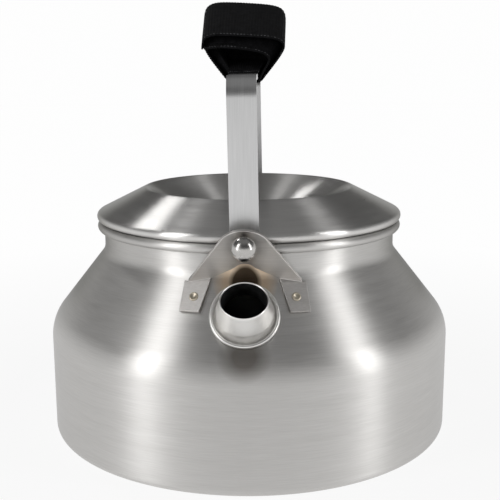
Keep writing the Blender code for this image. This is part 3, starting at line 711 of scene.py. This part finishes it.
def bracket_sheet(side):
    # The inner faces of the plate and both feet, with sharp bends.
    foot_up = bend_up(PLATE_HALF_FOOT, 1, side) + PLATE_STEP
    span = hypot(PLATE_HALF_FOOT, foot_up + PLATE_DROP)
    tangent = atan2(foot_up + PLATE_DROP, PLATE_HALF_FOOT) + pi / 2 - asin(PLATE_ROUND / span)
    rim = arc((0, -PLATE_DROP), PLATE_ROUND, pi / 2, tangent, 28) + [(PLATE_HALF_FOOT, foot_up)]
    arch = arc((0, -ARCH_DROP - ARCH_ROUND), ARCH_ROUND, ARCH_END, pi / 2, 14)
    mid_up = bend_up(ARCH_HALF_MID, 1, side) + ARCH_MID_HEIGHT
    bm = bmesh.new()
    cache = {}

    def vert(point):
        key = tuple(round(c, 7) for c in point)
        if key not in cache:
            cache[key] = bm.verts.new(point)
        return cache[key]

    for hand in (1, -1):
        outer = [vert(plate_point(hand * x, up, side)) for x, up in rim]
        inner = [vert(plate_point(hand * x, up, side)) for x, up in reversed(arch)]
        inner.append(vert(plate_point(hand * ARCH_HALF_MID, mid_up, side)))
        xs = (TAB_TOP[0], PLATE_HALF_FOOT)
        bend = [vert(plate_point(hand * x, bend_up(hand * x, hand, side), side)) for x in xs]
        step = vert(foot_point(hand * TAB_TOP[1], 0, hand, side))
        ring = outer + [bend[1], bend[0]] + list(reversed(inner))
        bm.faces.new(ring if hand * side > 0 else list(reversed(ring)))
        ends = zip(TAB_BOTTOM, TAB_LENGTH)
        low = [vert(foot_point(hand * x, down, hand, side)) for x, down in ends]
        foot = [bend[0], bend[1], step, low[1], low[0]]
        bm.faces.new(foot if hand * side > 0 else list(reversed(foot)))
    return bm


def round_bends(bm, side):
    edges = [e for e in bm.edges if len(e.link_faces) == 2 and e.calc_face_angle(0) > LEAST_BEND]
    bmesh.ops.bevel(bm, geom=edges, offset=BEND_ROUND, segments=8, affect="EDGES")
    bmesh.ops.recalc_face_normals(bm, faces=bm.faces)
    outward = Vector((0, side * cos(PLATE_LEAN), -sin(PLATE_LEAN)))
    face = max(bm.faces, key=lambda f: abs(f.normal.dot(outward)) * f.calc_area())
    if face.normal.dot(outward) < 0:
        bmesh.ops.reverse_faces(bm, faces=bm.faces)


def thicken(piece):
    sheet = piece.modifiers.new("sheet", "SOLIDIFY")
    sheet.thickness = PLATE
    sheet.offset = 1
    sheet.solidify_mode = "NON_MANIFOLD"
    sheet.nonmanifold_thickness_mode = "CONSTRAINTS"
    sheet.nonmanifold_merge_threshold = 0.00001
    bake_modifiers(piece)


def bracket(name, side, material, node):
    bm = bracket_sheet(side)
    round_bends(bm, side)
    mesh = bpy.data.meshes.new(name)
    bm.to_mesh(mesh)
    bm.free()
    mesh.materials.append(material)
    piece = bpy.data.objects.new(name, mesh)
    bpy.context.collection.objects.link(piece)
    thicken(piece)
    piece.data.shade_smooth()
    piece.data.set_sharp_from_angle(angle=radians(30))
    soften(piece, PLATE_EDGE)
    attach(piece, "kettle")
    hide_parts(node)


def turned(name, profile, origin, direction, material, body, node, steps):
    bm = lathe(profile, steps)
    turn = Vector((0, 0, 1)).rotation_difference(Vector(direction))
    bm.transform(Matrix.Translation(origin) @ turn.to_matrix().to_4x4())
    return finish_mesh(name, bm, material, body, node, sharp=45)


def foot_rivet(name, hand, side, material, node):
    seat = foot_point(hand * FOOT_RIVET_OUT, FOOT_RIVET_DOWN, hand, side)
    normal = foot_plane(hand, side)[1]
    top = PLATE + GAP * FOOT_LIFT
    profile = [(FOOT_HEAD * out, top + FOOT_HEAD_HEIGHT * up) for out, up in FOOT_DISH] + [(0, top)]
    turned(name, profile, seat, normal, material, "kettle", node, steps=48)


def pivot_rivet(name, side, material, node):
    plate_out = PLATE_INNER + PLATE / cos(PLATE_LEAN)
    ball = plate_out + (PIVOT_BALL + GAP) / cos(PLATE_LEAN) - LEG_INNER
    neck = asin(PIVOT_SHANK / PIVOT_BALL)
    profile = [(0, -GAP - PIVOT_TAIL[0][1])] + [(radius, -GAP - up) for radius, up in PIVOT_TAIL]
    profile.append((PIVOT_SHANK, -GAP))
    profile += arc((0, ball), PIVOT_BALL, neck - pi / 2, pi / 2, 40)
    profile[-1] = (0, ball + PIVOT_BALL)
    turned(name, profile, (0, side * LEG_INNER, PIVOT_HEIGHT), (0, side, 0), material, "kettle", node,
           steps=96)


# Bail

def lean(bm):
    # The photographed bail stands a little to the left of upright, about its pivots.
    pivot = Matrix.Translation((0, 0, PIVOT_HEIGHT))
    bm.transform(pivot @ Matrix.Rotation(BAIL_LEAN, 4, "Y") @ pivot.inverted())


def bail_path():
    middle = LEG_INNER + STRIP / 2
    bar = BAR_TOP - STRIP / 2
    bend = BEND_OUTER - STRIP / 2
    ends = [PIVOT_HEIGHT - LEG_END * cos(pi / 2 * i / 24) for i in range(24)]
    front = [(-middle, z) for z in ends]
    front += [(-middle, z) for z in (PIVOT_HEIGHT, *LEG_RINGS, bar - bend)]
    front += arc((-middle + bend, bar - bend), bend, pi, pi / 2, 20)[1:]
    return front + [(-y, z) for y, z in reversed(front)]


def bail(material):
    path = bail_path()
    rings = []
    for i, (y, z) in enumerate(path):
        before = path[max(i - 1, 0)]
        after = path[min(i + 1, len(path) - 1)]
        along = Vector((0, after[0] - before[0], after[1] - before[1])).normalized()
        side = Vector((0, -along.z, along.y)) * STRIP / 2
        end = max(0.0, PIVOT_HEIGHT - z)
        half = max(sqrt(max(LEG_END ** 2 - end ** 2, 0)), STRIP * LEG_TIP)
        centre = Vector((0, y, z))
        across = Vector((half, 0, 0))
        rings.append([centre - across - side, centre + across - side,
                      centre + across + side, centre - across + side])
    bm = loft(rings, closed=False)
    lean(bm)
    piece = finish_mesh("bail_strip", bm, material, "bail", "bail_handle", sharp=25)
    soften(piece, STRIP_EDGE, 3)


# Strap

def strap_loops(back):
    # The roll's three turns: half width, top, widest place, and half width and depth under the bar.
    hug = STRIP_WIDTH / 2 + STRAP_BETWEEN + STRAP / 2
    low = STRIP / 2 + STRAP_BETWEEN + STRAP / 2
    pitch = STRAP + STRAP_BETWEEN
    tight = TIGHT_BACK if back else (hug, low, 0)
    inner = INNER_BACK if back else INNER_FRONT
    outer = OUTER_BACK if back else OUTER_FRONT
    under = [(hug + pitch / 2 * i, -low - pitch * i) for i in range(3)]
    return tight + under[0], inner + under[1], outer + under[2]


def ease(value, start, end):
    share = min(max((value - start) / (end - start), 0), 1)
    return share * share * (3 - 2 * share)


def loop_point(angle, ring, square):
    # A point of one turn, whose angle of 0 is at the top.
    half, top, widest, half_low, low = ring
    side = -1 if sin(angle) > 0 else 1
    if cos(angle) > 0:
        rise = cos(angle) ** square
        return side * half * abs(sin(angle)) ** square, widest + (top - widest) * rise
    drop = abs(cos(angle)) ** LOW_CORNER
    flat = half_low * abs(sin(angle)) ** LOW_CORNER
    bulge = (half - half_low) * (1 - drop ** FLANK_BULGE)
    return side * (flat + bulge), widest + (low - widest) * drop


def smoothed(line):
    inner = [[sum(c) / 4 for c in zip(a, b, b, d)] for a, b, d in zip(line, line[1:], line[2:])]
    return [line[0]] + inner + [line[-1]]


def strap_line(back):
    start, end = STRAP_TURNS
    count = int((end - start) * TURN_POINTS)
    loops = strap_loops(back)
    line = []
    for i in range(count + 1):
        turns = start + (end - start) * i / count
        grown = ease(turns, *FIRST_GROWTH) + ease(turns, *SECOND_GROWTH)
        step = min(int(grown), 1)
        share = grown - step
        ring = [a + (b - a) * share for a, b in zip(loops[step], loops[step + 1])]
        square = CORNERS[0] + CORNERS[1] * min(grown, 1) - END_CORNER * ease(turns, *END_TURNS)
        x, z = loop_point(2 * pi * turns, ring, square)
        line.append((x, z, turns))
    return smoothed(smoothed(line))


def curved(lines, pitch):
    # Both edges' lines as a smooth curve, with points a steady distance apart on the average edge.
    knots = [(*f[:2], *b[:2], f[2]) for f, b in zip(*lines)]
    fine = []
    for i in range(len(knots) - 1):
        p0, p1, p2, p3 = (knots[min(max(i + k, 0), len(knots) - 1)] for k in (-1, 0, 1, 2))
        for j in range(CURVE_STEPS):
            s = j / CURVE_STEPS
            fine.append([0.5 * (2 * b + (c - a) * s + (2 * a - 5 * b + 4 * c - d) * s * s
                                + (3 * b - a - 3 * c + d) * s ** 3) for a, b, c, d in zip(p0, p1, p2, p3)])
    spots = [fine[0]]
    left = pitch
    for a, b in zip(fine, fine[1:]):
        span = (hypot(b[0] - a[0], b[1] - a[1]) + hypot(b[2] - a[2], b[3] - a[3])) / 2
        at = left
        while at <= span:
            spots.append([p + (q - p) * at / span for p, q in zip(a, b)])
            at += pitch
        left = at - span
    return spots


def band_point(knot, back, height):
    # A knot is (front x, front z, back x, back z, turns), and back runs from 0 to 1.
    x = knot[0] + (knot[2] - knot[0]) * back
    z = knot[1] + (knot[3] - knot[1]) * back
    sag = STRAP_SAG * (x + STRAP_SAG_FROM) * min(max(z / STRAP_SAG_FROM, 0), 1)
    return Vector((x, STRAP_FRONT + STRAP_CREEP * knot[4] + STRAP_WIDTH * back, height + z - sag))


def pressed_layers(bm, inside, outside, depth, height):
    # Behind its open front the turns lie pressed together, so webbing fills the room between them.
    start, end = depth
    rows = []
    for near, far in zip(inside, outside):
        corners = ((near, start), (far, start), (far, end), (near, end))
        rows.append([bm.verts.new(band_point(knot, back, height)) for knot, back in corners])
    for low, high in zip(rows, rows[1:]):
        for i in range(4):
            j = (i + 1) % 4
            bm.faces.new((low[i], low[j], high[j], high[i]))
    bm.faces.new(rows[0])
    bm.faces.new(list(reversed(rows[-1])))


def band_rings(rows, height):
    # One ring of points round the band's thickness for every step along it.
    rings = []
    for i, row in enumerate(rows):
        before = rows[max(i - 1, 0)]
        after = rows[min(i + 1, len(rows) - 1)]
        half = STRAP / 2 - RIB_HEIGHT * (0.5 + 0.5 * cos(2 * pi * i / RIB_STEPS))
        sides = ([], [])
        for k in range(STRAP_ACROSS + 1):
            back = k / STRAP_ACROSS
            along = Vector([(after[c] - before[c]) * (1 - back) + (after[c + 2] - before[c + 2]) * back
                            for c in (0, 1)]).normalized()
            out = Vector((-along.y, 0, along.x)) * half
            spot = band_point(row, back, height)
            sides[0].append(spot + out)
            sides[1].append(spot - out)
        rings.append(sides[0] + list(reversed(sides[1])))
    return rings


def weave_map(bm):
    weave = bm.loops.layers.uv.new("weave")
    bm.verts.index_update()
    count = 2 * (STRAP_ACROSS + 1)
    for face in bm.faces:
        for corner in face.loops:
            row, k = divmod(corner.vert.index, count)
            over = STRAP_WIDTH * min(k, count - 1 - k) / STRAP_ACROSS
            corner[weave].uv = (row * RIB_PITCH / RIB_STEPS, over)


def strap(material):
    bar = BAR_TOP - STRIP / 2
    lines = [strap_line(back) for back in (False, True)]
    bm = loft(band_rings(curved(lines, RIB_PITCH / RIB_STEPS), bar), closed=False)
    weave_map(bm)
    skipped = int((LAYERS_FROM - STRAP_TURNS[0]) * TURN_POINTS)
    knots = [(*f[:2], *b[:2], f[2]) for f, b in zip(*lines)][skipped:]
    pressed_layers(bm, knots, knots[TURN_POINTS:], LAYERS_DEPTH, bar)
    middle = [(0, 0, 0, 0, knot[4]) for knot in knots[:TURN_POINTS + 1]]
    pressed_layers(bm, middle, knots, CORE_DEPTH, bar)
    lean(bm)
    finish_mesh("grip_webbing", bm, material, "bail", "grip_strap", sharp=60)


def black_webbing(name):
    # The weave map runs along the band and across it from its front edge, in metres.
    material = new_material(name, (0.006, 0.006, 0.007), 0, 0.85)
    shader = shader_of(material)
    nodes = Nodes(material.node_tree)
    place = nodes.add("TexCoord").outputs["Object"]
    fuzz = nodes.noise(place, SPECKS, 3.0)
    cloud = nodes.noise(place, CLOUDS, 2.0)
    both = nodes.blend(fuzz, cloud, 0.5)
    cloth = nodes.tint(nodes.spread(both, 0, 1, 0.35, 0.7), *WEBBING_COLOURS)
    weave = nodes.add("SeparateXYZ")
    nodes.link(nodes.add("UVMap", uv_map="weave").outputs[0], weave.inputs[0])
    along, over = weave.outputs[0], weave.outputs[1]
    dashes = nodes.math("SINE", nodes.math("MULTIPLY", along, 2 * pi / STITCH_PITCH))
    seam = nodes.math("ABSOLUTE", nodes.math("SUBTRACT", over, STITCH_IN))
    line = nodes.math("LESS_THAN", seam, STITCH_WIDTH / 2)
    lit = nodes.math("MULTIPLY", nodes.math("MULTIPLY", line, nodes.spread(dashes, 0, 1, -0.2, 0.6)),
                     nodes.spread(cloud, 0.1, 1, 0.40, 0.60))
    thread = nodes.add("Mix", data_type="RGBA")
    nodes.link(lit, thread.inputs[0])
    nodes.link(cloth, thread.inputs[6])
    thread.inputs[7].default_value = (*STITCH_COLOUR, 1)
    nodes.link(thread.outputs[2], shader.inputs["Base Color"])
    threads = nodes.math("SINE", nodes.math("MULTIPLY", over, 2 * pi / THREAD_PITCH))
    rough = nodes.math("ADD", fuzz, nodes.math("MULTIPLY", threads, 0.25))
    nodes.bump(rough, 0.6, 0.0001, shader)
    shader.inputs["Specular IOR Level"].default_value = 0.10
    return material


# Stage

def softbox(name, azimuth, elevation, width, height, radiance):
    # An azimuth of 0 is the camera's side (-Y), and azimuths grow towards +X.
    way = Vector((sin(azimuth) * cos(elevation), -cos(azimuth) * cos(elevation), sin(elevation)))
    data = bpy.data.lights.new(name, "AREA")
    data.shape = "RECTANGLE"
    data.size = width
    data.size_y = height
    data.energy = radiance * pi * width * height
    thing = bpy.data.objects.new(name, data)
    thing.location = way * SOFTBOX_DISTANCE + Vector((0, 0, SOFTBOX_CENTRE))
    thing.rotation_euler = way.to_track_quat("Z", "Y").to_euler()
    bpy.context.collection.objects.link(thing)


def shown_to(nodes):
    # 1 for what the camera, mirrors and glass see, 0 for light on surfaces.
    path = nodes.add("LightPath")
    seen = nodes.math("MAXIMUM", path.outputs["Is Camera Ray"], path.outputs["Is Glossy Ray"])
    return nodes.math("MAXIMUM", seen, path.outputs["Is Transmission Ray"])


def white_stage(name, reach, shares, ends, least_seen=0.0):
    # White to the camera, mirrors and glass; elsewhere a plain pale surface that takes shadows.
    # The white's share runs from the first to the second number between the two ends of the reach.
    # What the camera sees itself has at least the share least_seen.
    material = bpy.data.materials.new(name)
    material.use_nodes = True
    nodes = Nodes(material.node_tree)
    shader = shader_of(material)
    shader.inputs["Base Color"].default_value = (0.9, 0.9, 0.9, 1)
    shader.inputs["Roughness"].default_value = 1
    shader.inputs["Specular IOR Level"].default_value = 0
    glow = nodes.add("Emission")
    glow.inputs["Strength"].default_value = 1.0
    mix = nodes.add("MixShader")
    share = nodes.spread(reach(nodes), *shares, *ends)
    seen = nodes.math("MULTIPLY", nodes.add("LightPath").outputs["Is Camera Ray"], least_seen)
    white = nodes.math("MAXIMUM", nodes.math("MULTIPLY", shown_to(nodes), share), seen)
    nodes.link(white, mix.inputs[0])
    nodes.link(shader.outputs[0], mix.inputs[1])
    nodes.link(glow.outputs[0], mix.inputs[2])
    output = material.node_tree.nodes["Material Output"]
    nodes.link(mix.outputs[0], output.inputs["Surface"])
    return material


def floor():
    bpy.ops.mesh.primitive_circle_add(vertices=96, radius=STAGE_RADIUS, fill_type="NGON")
    piece = bpy.context.object
    piece.name = "floor"
    piece.data.materials.append(white_stage("floor", Nodes.radius, *FLOOR_WHITE))


def backdrop():
    # A low round wall about the kettle, white to the camera and, in its lower half, to the steel.
    bpy.ops.mesh.primitive_cylinder_add(vertices=96, radius=STAGE_RADIUS, depth=STAGE_HEIGHT,
                                        end_fill_type="NOTHING", location=(0, 0, STAGE_HEIGHT / 2))
    piece = bpy.context.object
    piece.name = "backdrop"
    white = white_stage("backdrop", Nodes.height, *WALL_WHITE, least_seen=WALL_WHITE[0][0])
    piece.data.materials.append(white)


def studio():
    # A dim room above the backdrop, a little lighter low down and overhead.
    world = bpy.data.worlds.new("studio")
    bpy.context.scene.world = world
    world.use_nodes = True
    nodes = Nodes(world.node_tree)
    background = world.node_tree.nodes["Background"]
    way = nodes.add("SeparateXYZ")
    nodes.link(nodes.add("TexCoord").outputs["Generated"], way.inputs[0])
    low = nodes.spread(way.outputs[2], *LOW_ROOM)
    high = nodes.spread(way.outputs[2], *HIGH_ROOM)
    nodes.link(nodes.math("ADD", low, high), background.inputs["Strength"])
    background.inputs["Color"].default_value = (1, 1, 1, 1)


def camera():
    data = bpy.data.cameras.new("photo_camera")
    data.sensor_width = 36
    data.lens = FOCAL_PX * data.sensor_width / FRAME_PX
    data.clip_start = 0.01
    thing = bpy.data.objects.new("photo_camera", data)
    place = Vector((CAMERA_BACK * sin(CAMERA_AROUND), -CAMERA_BACK * cos(CAMERA_AROUND), CAMERA_HEIGHT))
    turn = Matrix.Rotation(CAMERA_AROUND + CAMERA_YAW, 4, "Z")
    tilt = Matrix.Rotation(pi / 2 - CAMERA_PITCH, 4, "X")
    roll = Matrix.Rotation(CAMERA_ROLL, 4, "Z")
    thing.matrix_world = Matrix.Translation(place) @ turn @ tilt @ roll
    bpy.context.collection.objects.link(thing)
    bpy.context.scene.camera = thing


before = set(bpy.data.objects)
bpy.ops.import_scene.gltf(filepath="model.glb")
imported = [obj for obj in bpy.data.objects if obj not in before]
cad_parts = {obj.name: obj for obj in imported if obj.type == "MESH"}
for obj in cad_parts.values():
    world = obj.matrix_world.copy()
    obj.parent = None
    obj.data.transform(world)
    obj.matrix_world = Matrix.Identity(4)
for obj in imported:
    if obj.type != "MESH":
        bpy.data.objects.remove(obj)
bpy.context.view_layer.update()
camera()
floor()
backdrop()
studio()
for name, (azimuth, elevation, width, height, radiance) in SOFTBOXES.items():
    softbox(name, radians(azimuth), radians(elevation), width, height, radiance)

# Each steel has a light and a dark colour, a roughness and, if turned, its anisotropy and depth
wall_steel = turned_steel("turned_wall", (0.66, 0.65, 0.635), (0.535, 0.525, 0.51), 0.42, 0.85, 0.000013)
# Painted shade and reflection under the front arch, and painted shade under the spout
lay_painted_light(wall_steel, ARCH_SHADE_SPOT, ARCH_SHADE_AND_REFLECTION)
lay_painted_light(wall_steel, SPOUT_SHADE_SPOT, SPOUT_SHADE)
lid_steel = turned_steel("turned_lid", (0.74, 0.73, 0.715), (0.64, 0.63, 0.615), 0.31, 0.97, 0.000005)
sheet_steel = lined_steel("sheet_steel", (0.65, 0.63, 0.61), (0.52, 0.50, 0.48), 0.40, (0,))
strip_steel = lined_steel("strip_steel", (0.66, 0.66, 0.66), (0.55, 0.55, 0.55), 0.34, (2, 1))
polished = bright_steel("polished_steel", (0.72, 0.71, 0.70), (0.66, 0.65, 0.64), 0.10)
satin = bright_steel("satin_steel", (0.80, 0.79, 0.77), (0.77, 0.76, 0.74), 0.30)
# The bore's steel is rougher, and painted dark for the shade inside the spout
dull_shaded_bore = bright_steel("dull_shaded_bore", (0.10, 0.10, 0.10), (0.06, 0.06, 0.06), 0.55)
ball_steel = bright_steel("ball_steel", (0.50, 0.49, 0.475), (0.43, 0.42, 0.405), 0.20)
rivet_metal = bright_steel("rivet_metal", (0.60, 0.55, 0.45), (0.48, 0.43, 0.34), 0.35)
webbing = black_webbing("black_webbing")

body(wall_steel)
lid(lid_steel)
knob(polished)
spout(satin, dull_shaded_bore)
for side, end in ((-1, "front"), (1, "rear")):
    bracket(end + "_sheet", side, sheet_steel, end + "_bracket")
    for hand, which in ((-1, "left"), (1, "right")):
        name = end + "_" + which
        foot_rivet(name + "_rivet", hand, side, rivet_metal, name + "_foot_rivet")
    pivot_rivet(end + "_ball_rivet", side, ball_steel, end + "_pivot_rivet")
bail(strip_steel)
strap(webbing)

# What the photograph hides stays as the part has it
for node, material in (("front_pivot_washer", polished), ("rear_pivot_washer", polished),
                       ("lid_skirt", lid_steel), ("lid_knob_screw", rivet_metal)):
    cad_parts[node].data.materials.clear()
    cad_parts[node].data.materials.append(material)

bpy.context.scene.view_settings.view_transform = "Standard"
